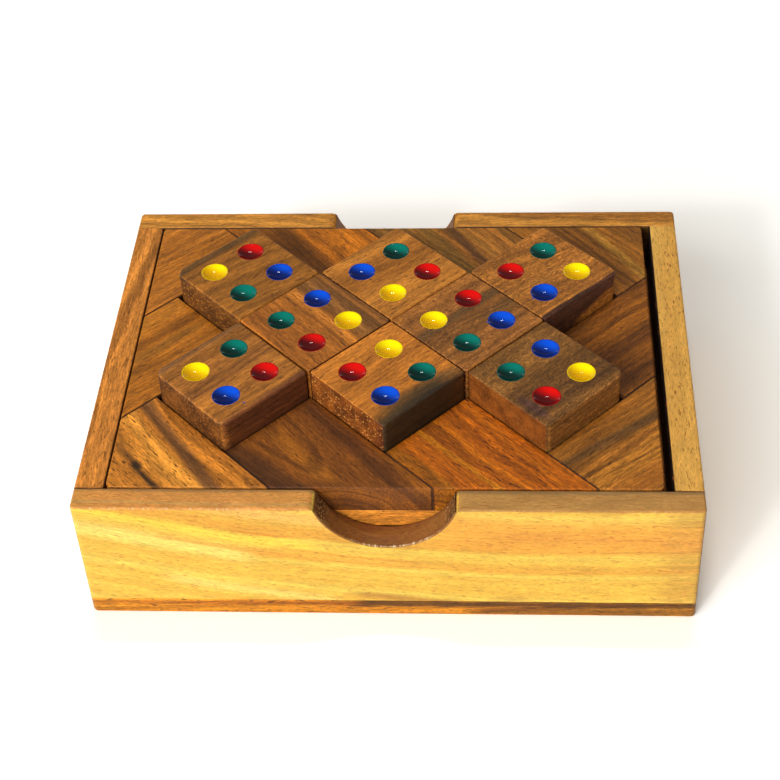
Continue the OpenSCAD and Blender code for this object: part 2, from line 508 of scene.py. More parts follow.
@dataclass(frozen=True)
class Finish:
    """How one piece is cut from its timber.

    Attributes:
        timber: The wood.
        grain: The way its fibres run.
        seed: Which part of the tree it comes from.
        heart: How far off the tree's heart lies, across the grain and upwards.
        tilt: Degrees by which the rings lean off the piece's own line, sideways and upwards.
        bend: How far the fibres rise for each millimetre along the piece, and how that changes with
            each millimetre.
        marks: The piece's own streaks, knots, edges with a painted highlight, and faces of their own colour
            or of painted shade.
    """

    timber: Timber
    grain: Grain
    seed: int
    heart: tuple[float, float] = (35.0, -60.0)
    tilt: tuple[float, float] = (1.5, 1.5)
    bend: tuple[float, float] = (0.0, 0.0)
    marks: tuple[Mark, ...] = ()

    def material(self, name: str, centre: Vector) -> bpy.types.Material:
        """Makes the piece's wood.

        Args:
            name: The piece's name, which the material takes too.
            centre: The piece's middle in millimetres.

        Returns:
            The material.
        """
        wood = self.timber
        material = bpy.data.materials.new(f"oiled_timber_{name}")
        graph = Graph(material)
        chance = random.Random(self.seed)
        source = graph.add("TexCoord")
        place, fibre_place = self._places(graph, source, centre, chance)
        bands, lines = self._rings(graph, fibre_place, chance)
        noise = {}
        for layer, (along, across, detail) in NOISES.items():
            noise[layer] = graph.add("TexNoise", {
                "Vector": graph.anywhere(fibre_place, (along, across, across), chance),
                "Scale": 1.0, "Detail": detail, "Roughness": 0.6})
        dashes = self._dashes(graph, fibre_place, noise["curls"], chance)
        # Streaks and knots follow the fibres, faces and edges lie straight.
        wavy, straight = (Spot(graph, graph.add("SeparateXYZ", {0: at}), noise["threads"])
                          for at in (fibre_place, place))

        # Broad tones with the piece's own marks.
        tone = graph.mix(graph.ramp(bands, 0.32, 0.5, smooth=True), linear(wood.dark), linear(wood.mid))
        tone = graph.mix(graph.ramp(bands, 0.5, 0.7, smooth=True), tone, linear(wood.light))
        for mark in self.marks:
            if not isinstance(mark, Arris):
                cover = mark.cover(straight if isinstance(mark, Face) else wavy)
                tone = graph.mix(cover, tone, linear(mark.colour))

        # Lines, fibres, shimmer and grit lighten and darken it round its own level.
        for layer, strength in ((lines, wood.lines), (noise["threads"], wood.fibres),
                                (noise["clouds"], wood.shimmer), (noise["grit"], wood.grit)):
            swing = graph.ramp(layer, 0.3, 0.7, 1 - strength, 1 + strength)
            tone = graph.vector_math("MULTIPLY", tone, swing)
        pale = graph.vector_math("MULTIPLY", tone, (wood.lift,) * 3)
        for layer, colour, strength in (("flecks", pale, wood.flecks),
                                        ("pores", linear(wood.pore), wood.pores),
                                        ("pits", linear(wood.pore), wood.pits)):
            tone = graph.mix(graph.math("MULTIPLY", dashes[layer], strength), tone, colour)
        tone = self._with_end_grain(graph, tone, source, fibre_place, noise["clouds"], chance)
        for mark in self.marks:
            if isinstance(mark, Arris):
                tone = graph.mix(mark.cover(straight), tone, linear(mark.colour))

        # Relief of fibres and open pores under thin oil.
        height = graph.math("MULTIPLY_ADD", noise["threads"], 0.4, dashes["flecks"])
        height = graph.math("MULTIPLY_ADD", dashes["pores"], -1.6, height)
        bump = graph.add("Bump", {"Height": height, "Strength": 0.6, "Distance": 0.06 * MM})
        shader = graph.add("BsdfPrincipled", {
            "Base Color": tone, "Roughness": graph.ramp(noise["threads"], 0.0, 1.0, 0.46, 0.68), "IOR": 1.5,
            "Specular IOR Level": 0.3, "Normal": bump})
        graph.add("OutputMaterial", {"Surface": shader})
        return material

    def _places(self, graph: Graph, source: bpy.types.Node, centre: Vector,
                chance: random.Random) -> tuple[bpy.types.Node, bpy.types.Node]:
        """Gives the place along the grain, across it and up, without and with the fibres' wander.

        Args:
            graph: The material's nodes.
            source: The texture coordinates.
            centre: The piece's middle in millimetres.
            chance: Source of the piece's own figure.

        Returns:
            The nodes that give the two places in millimetres.
        """
        angle = -self.grain.value
        place = graph.add("Mapping", {
            "Vector": source.outputs["Object"], "Location": -(turned(angle) @ centre),
            "Rotation": (0, 0, math.radians(angle)), "Scale": (1 / MM, 1 / MM, 1 / MM)})
        wave = graph.add("TexNoise", {
            "Vector": graph.anywhere(place, WAVE_SIZE, chance), "Scale": 1.0, "Detail": 2.0})
        reach = self.timber.wander
        waved = graph.vector_math("MULTIPLY_ADD", wave.outputs["Color"], (0, 2 * reach, 2 * reach), place)
        waved = graph.vector_math("SUBTRACT", waved, (0, reach, reach))
        if self.bend == (0.0, 0.0):
            return place, waved
        axes = graph.add("SeparateXYZ", {0: waved})
        along = axes.outputs["X"]
        rise = graph.math("MULTIPLY_ADD", along, self.bend[1], self.bend[0])
        up = graph.math("MULTIPLY_ADD", rise, graph.math("MULTIPLY", along, -1.0), axes.outputs["Z"])
        return place, graph.add("CombineXYZ", {"X": along, "Y": axes.outputs["Y"], "Z": up})

    def _rings(self, graph: Graph, place: bpy.types.Node,
               chance: random.Random) -> tuple[bpy.types.Node, bpy.types.Node]:
        """Lays growth rings round the tree's heart.

        Args:
            graph: The material's nodes.
            place: The place along the grain, across it and up.
            chance: Source of the piece's own figure.

        Returns:
            The broad bands and the fine lines.
        """
        ring_place = graph.add("Mapping", {
            "Vector": place, "Location": (0, -self.heart[0], -self.heart[1]),
            "Rotation": (0, math.radians(self.tilt[1]), math.radians(self.tilt[0]))})
        radius = graph.length(graph.vector_math("MULTIPLY", ring_place, (0, 1, 1)))
        layers = []
        for step, detail in ((self.timber.band, 2.0), (self.timber.band / 5.5, 3.0)):
            ring = graph.math("MULTIPLY_ADD", radius, 1 / step, chance.uniform(-50, 50))
            layers.append(graph.add("TexNoise", {
                "W": ring, "Scale": 1.0, "Detail": detail, "Roughness": 0.55}, noise_dimensions="1D"))
        return layers[0], layers[1]

    def _dashes(self, graph: Graph, place: bpy.types.Node, curls: bpy.types.Node,
                chance: random.Random) -> dict[str, bpy.types.Node]:
        """Lays the short dashes: dark open pores, a few wide pits and pale flecks.

        Args:
            graph: The material's nodes.
            place: The place along the grain, across it and up.
            curls: Noise that curls the dashes off the grain.
            chance: Source of the piece's own figure.

        Returns:
            The pores, the pits and the flecks.
        """
        wood = self.timber
        curl = 12 * wood.curl
        curled = graph.vector_math("MULTIPLY_ADD", curls.outputs["Color"], (0, curl, curl), place)
        dashes = {}
        for layer, (along, across), least, full in (("pores", wood.pore_size, 0.60, 0.72),
                                                    ("flecks", wood.fleck_size, 0.50, 0.66)):
            spot = graph.anywhere(curled, (along, across, across), chance)
            speckle = graph.add("TexNoise", {"Vector": spot, "Scale": 1.0, "Detail": 1.0})
            dashes[layer] = graph.ramp(speckle, least, full)
        dashes["pits"] = graph.cells(
            graph.anywhere(place, PIT_SIZE, chance), rim=(0.19, 0.1), lot=(0.3, 0.8))
        return dashes

    def _with_end_grain(self, graph: Graph, tone: bpy.types.Node, source: bpy.types.Node,
                        place: bpy.types.Node, clouds: bpy.types.Node,
                        chance: random.Random) -> bpy.types.Node:
        """Shows the cut fibres where the surface faces along the grain.

        Args:
            graph: The material's nodes.
            tone: The long grain's colour.
            source: The texture coordinates.
            place: The place along the grain, across it and up.
            clouds: The cloudy patches.
            chance: Source of the piece's own figure.

        Returns:
            The colour with the end grain.
        """
        wood = self.timber
        way = turned(self.grain.value) @ Vector((1, 0, 0))
        facing = graph.vector_math("DOT_PRODUCT", source.outputs["Normal"], way).outputs["Value"]
        share = graph.ramp(graph.math("ABSOLUTE", facing), 0.74, 0.92, smooth=True)
        speck = graph.cells(
            graph.anywhere(place, SPECK_SIZE, chance), rim=(0.46, 0.26), lot=(0.0, 0.5),
            strength=wood.end_specks, randomness=0.7)
        ground = graph.mix(0.25, linear(wood.end_dark), tone)
        ground = graph.vector_math("MULTIPLY", ground, graph.ramp(clouds, 0.35, 0.65, 0.6, 1.3))
        return graph.mix(share, tone, graph.mix(speck, ground, linear(wood.end_light)))


# ---------------------------------------------------------------- enamel


@dataclass(frozen=True)
class Enamel:
    """Brushed gloss alkyd enamel, which pools at the bottom of a dish and laps thinly over its rim.

    It is hard and smooth, so it gives small sharp highlights. Its colour is painted much deeper, as painted
    shade, on the side of each dish that faces away from the key light.

    Attributes:
        colour: The paint.
        painted_shade: The deeper colour painted as shade on the side of a dish that faces away from the key
            light.
    """

    colour: str
    painted_shade: str

    def material(self, name: str, top: float) -> bpy.types.Material:
        """Makes the enamel.

        Args:
            name: The colour's plain name.
            top: Height of the dishes' rims in millimetres.

        Returns:
            The material.
        """
        material = bpy.data.materials.new(f"gloss_enamel_{name}")
        graph = Graph(material)
        source = graph.add("TexCoord")
        place = graph.add("Mapping", {"Vector": source.outputs["Object"], "Scale": (1 / MM, 1 / MM, 1 / MM)})
        # Painted shade: the colour deepens where the surface faces back right, the side of a dish that the
        # key light from the front left does not reach.
        away_from_key = graph.vector_math("DOT_PRODUCT", source.outputs["Normal"], (0.22, 0.5, 0.84))
        wobble = graph.add("TexNoise", {"Vector": place, "Scale": 0.06, "Detail": 0.0})
        uneven = graph.math("MULTIPLY_ADD", wobble, 0.3, away_from_key.outputs["Value"])
        height = graph.add("SeparateXYZ", {0: place}).outputs["Z"]
        inside = graph.ramp(height, top - 0.01, top - 0.12, to_low=0.6)
        shade_share = graph.math("MULTIPLY", graph.ramp(uneven, 0.53, 0.98, smooth=True), inside)
        ripple = graph.add("TexNoise", {"Vector": place, "Scale": 0.45, "Detail": 1.0})
        bump = graph.add("Bump", {"Height": ripple, "Strength": 0.3, "Distance": 0.1 * MM})
        shader = graph.add("BsdfPrincipled", {
            "Base Color": graph.mix(shade_share, linear(self.colour), linear(self.painted_shade)), "Roughness": 0.07,
            "IOR": 1.5, "Specular IOR Level": 0.3, "Normal": bump})
        graph.add("OutputMaterial", {"Surface": shader})
        return material


# Each enamel's second colour is the painted shade on the unlit side of its dishes.
ENAMELS = {
    "red": Enamel("#dc0c08", "#5c0e12"),
    "yellow": Enamel("#fff000", "#f4b800"),
    "blue": Enamel("#0452dc", "#081e66"),
    "green": Enamel("#007668", "#002e2a"),
}


# ---------------------------------------------------------------- workbench


@dataclass(frozen=True)
class Edge:
    """A straight edge of a piece, by its two ends in millimetres."""

    a: Vector
    b: Vector

    @property
    def middle(self) -> Vector:
        """The point halfway along."""
        return (self.a + self.b) / 2

    @property
    def rise(self) -> float:
        """How much higher one end is than the other."""
        return abs(self.a.z - self.b.z)

    def at(self, axis: int, *places: float) -> bool:
        """Tells whether the middle lies at one of some places on an axis."""
        return any(abs(self.middle[axis] - place) < NEAR for place in places)


class Workpiece:
    """A piece on the bench: a primitive that is sawn, bored and rounded into shape."""

    def __init__(self, piece: bpy.types.Object, name: str) -> None:
        """Takes a new primitive and bakes its place into its mesh.

        Args:
            piece: The primitive, which is the active object.
            name: The piece's name.
        """
        self.piece = piece
        piece.name = name
        piece.data.name = name
        bpy.ops.object.transform_apply(location=True, rotation=True, scale=True)

    @classmethod
    def block(cls, name: str, low: Vector, high: Vector, turn: float = 0.0,
              pivot: Vector = Vector()) -> "Workpiece":
        """Planes a block to size.

        Args:
            name: The piece's name.
            low: Its lowest corner in millimetres, before it is turned.
            high: Its highest corner.
            turn: Degrees by which it is turned about Z.
            pivot: The point it is turned about.

        Returns:
            The block.
        """
        middle = pivot + turned(turn) @ ((low + high) / 2 - pivot)
        deselect_all()
        bpy.ops.mesh.primitive_cube_add(
            size=1, location=middle * MM, rotation=(0, 0, math.radians(turn)), scale=(high - low) * MM)
        return cls(bpy.context.object, name)

    @classmethod
    def ball(cls, name: str, centre: Vector, radius: float) -> "Workpiece":
        """Turns a ball.

        Args:
            name: The piece's name.
            centre: Its middle in millimetres.
            radius: Its radius.

        Returns:
            The ball.
        """
        deselect_all()
        bpy.ops.mesh.primitive_uv_sphere_add(
            segments=64, ring_count=48, radius=radius * MM, location=centre * MM)
        return cls(bpy.context.object, name)

    @classmethod
    def rod(cls, name: str, centre: Vector, radius: float, length: float) -> "Workpiece":
        """Turns a rod that lies along Y.

        Args:
            name: The piece's name.
            centre: Its middle in millimetres.
            radius: Its radius.
            length: Its length.

        Returns:
            The rod.
        """
        deselect_all()
        bpy.ops.mesh.primitive_cylinder_add(
            vertices=144, radius=radius * MM, depth=length * MM, location=centre * MM,
            rotation=(math.pi / 2, 0, 0))
        return cls(bpy.context.object, name)

    def saw(self, point: Vector, away: Vector, fill: bool = True) -> None:
        """Saws off what lies beyond a plane.

        Args:
            point: A point of the plane in millimetres.
            away: The way to the offcut.
            fill: Whether the cut is closed.
        """
        pick(self.piece)
        bpy.ops.object.mode_set(mode="EDIT")
        bpy.ops.mesh.select_all(action="SELECT")
        bpy.ops.mesh.bisect(
            plane_co=point * MM, plane_no=away, use_fill=fill, clear_outer=True, threshold=0.001 * MM)
        bpy.ops.object.mode_set(mode="OBJECT")

    def cut(self, cutter: "Workpiece") -> None:
        """Cuts the shape of another piece out of this one, and uses the other up."""
        self.modify("BOOLEAN", operation="DIFFERENCE", solver="EXACT", object=cutter.piece)
        bpy.data.objects.remove(cutter.piece)

    def round_edges(self, radius_of: Callable[[Edge], float], segments: int = 4) -> None:
        """Rounds edges, each by its own radius.

        Args:
            radius_of: Gives an edge's radius in millimetres, or 0 to leave it.
            segments: Faces across a rounding.
        """
        mesh = self.piece.data
        radii = [radius_of(Edge(*(mesh.vertices[i].co / MM for i in edge.vertices))) for edge in mesh.edges]
        largest = max(radii)
        weights = mesh.attributes.new("bevel_weight_edge", "FLOAT", "EDGE")
        weights.data.foreach_set("value", [radius / largest for radius in radii])
        self.modify("BEVEL", limit_method="WEIGHT", width=largest * MM, segments=segments,
                    use_clamp_overlap=False)
        weights = mesh.attributes.get("bevel_weight_edge")
        if weights:
            mesh.attributes.remove(weights)

    def flange(self, middle: Vector, radius: float, lap: list[float], shift: Vector) -> None:
        """Draws the open round rim outwards into a flat flange.

        Args:
            middle: The rim's middle in millimetres.
            radius: The rim's radius.
            lap: How wide the flange is along X and along Y.
            shift: How far its outer edge lies off the middle.
        """
        pick(self.piece)
        bpy.ops.object.mode_set(mode="EDIT")
        bpy.ops.mesh.select_mode(type="EDGE")
        bpy.ops.mesh.select_all(action="DESELECT")
        bpy.ops.mesh.select_non_manifold(
            extend=False, use_wire=False, use_boundary=True, use_multi_face=False,
            use_non_contiguous=False, use_verts=False)
        bpy.ops.mesh.extrude_edges_move()
        bpy.ops.transform.resize(
            value=(1 + lap[0] / radius, 1 + lap[1] / radius, 1), center_override=middle * MM)
        bpy.ops.transform.translate(value=shift * MM)
        bpy.ops.mesh.select_mode(type="VERT")
        bpy.ops.object.mode_set(mode="OBJECT")

    def copy(self, name: str, place: Vector) -> "Workpiece":
        """Copies the piece with a mesh of its own.

        Args:
            name: The copy's name.
            place: How far it is moved, in millimetres.

        Returns:
            The copy.
        """
        piece = self.piece.copy()
        piece.data = self.piece.data.copy()
        bpy.context.scene.collection.objects.link(piece)
        piece.location = place * MM
        pick(piece)
        return Workpiece(piece, name)

    def modify(self, kind: str, **settings) -> None:
        """Adds a modifier and applies it.

        Args:
            kind: The modifier's type.
            settings: Its own properties.
        """
        pick(self.piece)
        modifier = self.piece.modifiers.new(kind.lower(), kind)
        for name, value in settings.items():
            setattr(modifier, name, value)
        bpy.ops.object.modifier_apply(modifier=modifier.name)

    def finish(self) -> bpy.types.Object:
        """Smooths the roundings, keeps flat faces flat and hands the piece over.

        Returns:
            The finished object.
        """
        pick(self.piece)
        bpy.ops.object.mode_set(mode="EDIT")
        bpy.ops.mesh.select_all(action="SELECT")
        bpy.ops.mesh.remove_doubles(threshold=0.0005 * MM)
        bpy.ops.mesh.normals_make_consistent(inside=False)
        bpy.ops.object.mode_set(mode="OBJECT")
        bpy.ops.object.shade_smooth_by_angle(angle=math.radians(36))
        self.modify("WEIGHTED_NORMAL", keep_sharp=True)
        return self.piece


def deselect_all() -> None:
    """Leaves nothing selected, so that an operator acts only on what is picked next."""
    for thing in bpy.context.view_layer.objects:
        thing.select_set(False)


def pick(*pieces: bpy.types.Object) -> None:
    """Makes these pieces the ones that operators act on, the first one as the active one."""
    deselect_all()
    for piece in pieces:
        piece.select_set(True)
    bpy.context.view_layer.objects.active = pieces[0]


def fit(piece: bpy.types.Object, node: str, body: str, material: bpy.types.Material) -> None:
    """Puts a finished piece in the place of its CAD node.

    Args:
        piece: The finished piece.
        node: The CAD node that it stands for.
        body: The body that it moves with.
        material: Its finish.
    """
    piece.data.materials.clear()
    piece.data.materials.append(material)
    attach(piece, body)
    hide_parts(node)
    LOG.info("%s: %d faces, on %s", piece.name, len(piece.data.polygons), body)


def dress(node: str, material: bpy.types.Material) -> None:
    """Gives a CAD node that keeps its own mesh a better finish."""
    piece = frame["nodes"][node]
    for slot in piece.material_slots:
        slot.material = material
    if not piece.material_slots:
        piece.data.materials.append(material)
    LOG.info("%s: dressed as it is", node)


# ---------------------------------------------------------------- woods of this box

HEARTWOOD = Timber()
SAPWOOD = Timber(
    dark="#e4a53e", mid="#eaba49", light="#efcb57", band=8.0, wander=2.0, lines=0.07, fibres=0.10,
    shimmer=0.09, grit=0.1, pore="#b8652a", pores=0.5, pore_size=(2.2, 0.4), pits=0.15, lift=1.25,
    flecks=0.4, fleck_size=(4.5, 0.6), end_dark="#58381d", end_light="#dba566")
CURLY = Timber(
    lift=1.9, flecks=0.7, fleck_size=(2.6, 0.55), curl=0.5, pores=0.6, pore_size=(2.6, 0.5), fibres=0.2,
    shimmer=0.22)


def tinted(timber: Timber, dark: str, mid: str, light: str, **changes) -> Timber:
    """Picks a log of a timber by its tones.

    Args:
        timber: The timber.
        dark: The tone of its dark bands.
        mid: Its middle tone.
        light: The tone of its light bands.
        changes: Other values in which the log differs.

    Returns:
        The log.
    """
    return replace(timber, dark=dark, mid=mid, light=light, **changes)


# ---------------------------------------------------------------- tray


def level(colour: str, up: float, width: float, strength: float, **where) -> Streak:
    """Makes a streak whose place is counted upwards."""
    return Streak(colour, up, width, strength, on_edge=True, **where)


# Colour of the pale line painted along edges, a painted highlight with the pale of broken fibres, and the
# front wall's notch: its middle along and up, and its radius.
PALE_FIBRES_AND_HIGHLIGHT = "#ffe6b8"
FRONT_NOTCH = (0.0, 23.0, 19.0)

# How each piece of the tray is cut from its timber, with its record slot.
TRAY_WOODS = {
    "front_wall": ("wall_sapwood", Finish(
        SAPWOOD, Grain.ALONG_X, 3, heart=(10.0, 55.0), tilt=(0.0, 2.0), bend=(-0.135, 0.00088), marks=(
            level("#eda340", 12.8, 19.0, 0.85, start=14.0, blur=0.8),
            level("#e4983e", 12.0, 4.0, 0.5, start=30.0, blur=0.9),
            level("#eeb861", 11.0, 7.0, 0.7, start=-50.0, end=8.0, blur=0.9),
            level("#f5e074", -6.0, 9.0, 0.75, end=-36.0, blur=0.9),
            level("#f7d647", 1.0, 6.0, 0.6, end=-20.0, blur=0.9),
            level("#f3da76", -20.0, 6.0, 0.6, start=-60.0, end=-14.0, blur=0.9),
            level("#e59837", -3.6, 2.0, 0.45, start=-60.0, end=-24.0),
            level("#df7d2b", 3.4, 1.0, 0.55, start=-40.0, end=-24.0),
            level("#e19035", -1.2, 1.4, 0.45, start=-30.0, end=8.0),
            level("#e5a13e", -11.0, 1.6, 0.5, start=-70.0, end=-44.0),
            level("#b17b35", -16.4, 4.2, 0.75, start=-10.0, end=24.0, blur=0.9),
            level("#c48e40", 0.0, 80.0, 0.5, start=72.0, blur=0.1),
            Face("#dd9549", up=18.0, depth=0.6, strength=0.92, end=14.0),
            Face("#b98749", up=18.0, depth=0.6, strength=0.92, start=14.0),
            Streak("#846943", 3.2, 2.6, 0.7, blur=0.9),
            Streak("#cea55f", -1.6, 1.6, 0.6, end=5.0, blur=0.9),
            Streak("#b47e3a", -2.9, 1.0, 0.6, start=8.0, blur=0.9),
            Face("#7c4824", notch=FRONT_NOTCH, depth=0.6, strength=0.96, patchy=0.15),
            # Painted shade: the inner face is darkened to stand in for the shade down the gap between wall
            # and board.
            Face("#4a2c14", across=3.75, depth=0.4, strength=0.75),
            # Pale lines along the top edge and the notch's rim: painted highlight, with broken fibres.
            Arris(PALE_FIBRES_AND_HIGHLIGHT, -3.75, 18.0, strength=0.7, reach=0.5, end=-32.0),
            Arris(PALE_FIBRES_AND_HIGHLIGHT, -3.75, 18.0, strength=0.35, reach=0.4, start=-30.0),
            Arris(PALE_FIBRES_AND_HIGHLIGHT, -3.75, notch=FRONT_NOTCH, start=-8.0, end=12.0, strength=0.6)))),
    "back_wall": ("wall_heartwood", Finish(
        tinted(HEARTWOOD, "#aa6d28", "#d18d37", "#efa946", flecks=0.1, pores=0.5), Grain.ALONG_X, 11,
        # Painted shade: the inner face is darkened to stand in for the shade down the gap between wall and
        # board.
        marks=(Face("#2c1a0d", across=-3.75, depth=0.3, strength=0.85),))),
    "left_wall": ("wall_heartwood", Finish(
        tinted(HEARTWOOD, "#c2772b", "#d18433", "#df913c", flecks=0.3), Grain.ALONG_Y, 5,
        # Painted shade: the inner face is darkened to stand in for the shade down the gap between wall and
        # board.
        marks=(Face("#22140b", across=-4.0, depth=0.35, strength=0.9),))),
    "right_wall": ("wall_sapwood", Finish(
        tinted(SAPWOOD, "#d5963e", "#e6ae51", "#f1c565", pore="#8a4a20", pores=0.7, pits=0.9, wander=4.0),
        # Painted shade: the inner face is painted near black for the deep shade in the gap between this wall
        # and the board.
        Grain.ALONG_Y, 8, marks=(Face("#0d0705", across=4.0, depth=0.5, strength=1.0),))),
    "base_panel": ("base_wood", Finish(
        tinted(HEARTWOOD, "#d5861c", "#f3a429", "#ffb832", wander=1.0, pores=0.8), Grain.ALONG_X, 21, marks=(
            level("#9a510f", 1.6, 3.0, 0.8, end=0.0, blur=0.9),
            level("#4d2e0a", 1.8, 3.6, 0.92, start=-10.0),
            level("#5f300d", -1.0, 7.0, 0.8, start=22.0, blur=0.9)))),
    "left_cleat": ("cleat_wood", Finish(HEARTWOOD, Grain.ALONG_Y, 22)),
    "right_cleat": ("cleat_wood", Finish(HEARTWOOD, Grain.ALONG_Y, 23)),
}


@dataclass
class Tray:
    """The open box: base, four walls with two finger notches, and the cleats that carry the board.

    Attributes:
        body: The body that it moves with.
        corner_r: Radius of the upright corners.
        wall_edge_r: Radius of the walls' top edges.
        base_edge_r: Radius of the base's lower edges.
        seam_r: Radius along the seam between base and walls.
        notch_r: Radius of a finger notch.
        notch_depth: Its depth below the walls' top.
        notch_lip_r: Radius where it runs out into the top.
        notch_edge_r: Radius along its two rims.
        inner_r: Radius of an end wall's upright edges inside.
        butt_r: Radius of a side wall's edges where it butts against an end wall.
        back_notch_x: Distance of the back notch from the middle.
    """

    body: str = "box"
    corner_r: float = 1.4
    wall_edge_r: float = 0.7
    base_edge_r: float = 1.2
    seam_r: float = 0.3
    notch_r: float = 19.0
    notch_depth: float = 14.0
    notch_lip_r: float = 2.2
    notch_edge_r: float = 0.45
    inner_r: float = 0.15
    butt_r: float = 0.12
    back_notch_x: float = -3.0

    def build(self) -> None:
        """Builds the tray piece by piece."""
        for node, notch_x in (("front_wall", 0.0), ("back_wall", self.back_notch_x)):
            self._fit(self._end_wall(node, notch_x), node)
        for node in ("left_wall", "right_wall"):
            self._fit(self._side_wall(node), node)
        self._fit(self._base(), "base_panel")
        for node in ("left_cleat", "right_cleat"):
            dress(node, TRAY_WOODS[node][1].material(node, node_centre(node)))

    def _fit(self, piece: bpy.types.Object, node: str) -> None:
        """Gives a piece its finish and puts it in its node's place."""
        slot, finish = TRAY_WOODS[node]
        fit(piece, node, self.body, finish.material(node, node_centre(node)))

    def _end_wall(self, node: str, notch_x: float) -> bpy.types.Object:
        """Makes a front or back wall with its finger notch.

        Args:
            node: The wall's CAD node.
            notch_x: Distance of the notch from the box's middle.

        Returns:
            The wall.
        """
        low, high = node_box(node)
        outer_y = low.y if node == "front_wall" else high.y
        wall = Workpiece.block(node + "_board", low, high)
        centre = Vector((notch_x, (low.y + high.y) / 2, high.z + self.notch_r - self.notch_depth))
        wall.cut(Workpiece.rod("notch_cutter", centre, self.notch_r, 2 * (high.y - low.y)))

        def radius(edge: Edge) -> float:
            """Gives the radius of the rounding on one of the wall's edges.

            Args:
                edge: The edge.

            Returns:
                The radius.
            """
            at_end, at_top = edge.at(0, low.x, high.x), edge.at(2, high.z)
            if at_end and edge.rise > 1:
                return self.corner_r if edge.at(1, outer_y) else self.inner_r
            if abs(edge.a.y - edge.b.y) > 1 and at_top and not at_end:
                return self.notch_lip_r
            if at_top:
                return self.wall_edge_r
            if edge.at(2, low.z):
                return self.seam_r
            return self.notch_edge_r if edge.at(1, low.y, high.y) else 0.0

        wall.round_edges(radius)
        return wall.finish()

    def _side_wall(self, node: str) -> bpy.types.Object:
        """Makes the left or right wall, which butts between the others."""
        low, high = node_box(node)
        wall = Workpiece.block(node + "_board", low, high)
        wall.round_edges(lambda edge: self.butt_r if not edge.at(1, 0.0) else (
            self.wall_edge_r if edge.at(2, high.z) else self.seam_r))
        return wall.finish()

    def _base(self) -> bpy.types.Object:
        """Makes the base with its rounded lower edges."""
        low, high = node_box("base_panel")
        base = Workpiece.block("base_board", low, high)
        base.round_edges(lambda edge: self.base_edge_r if edge.at(2, low.z) else (
            self.seam_r if edge.at(2, high.z) else self.corner_r))
        return base.finish()


# ---------------------------------------------------------------- board


@dataclass(frozen=True)
class Strip:
    """One diagonal strip of the board.

    Attributes:
        name: The strip's name, which its CAD node has after "strip_".
        u: Its bounds towards the back right, in tile pitches.
        v: Its bounds towards the back left.
        slot: The record's material slot; not used.
        finish: How it is cut from its timber.
    """

    name: str
    u: tuple[float, float]
    v: tuple[float, float]
    slot: str
    finish: Finish


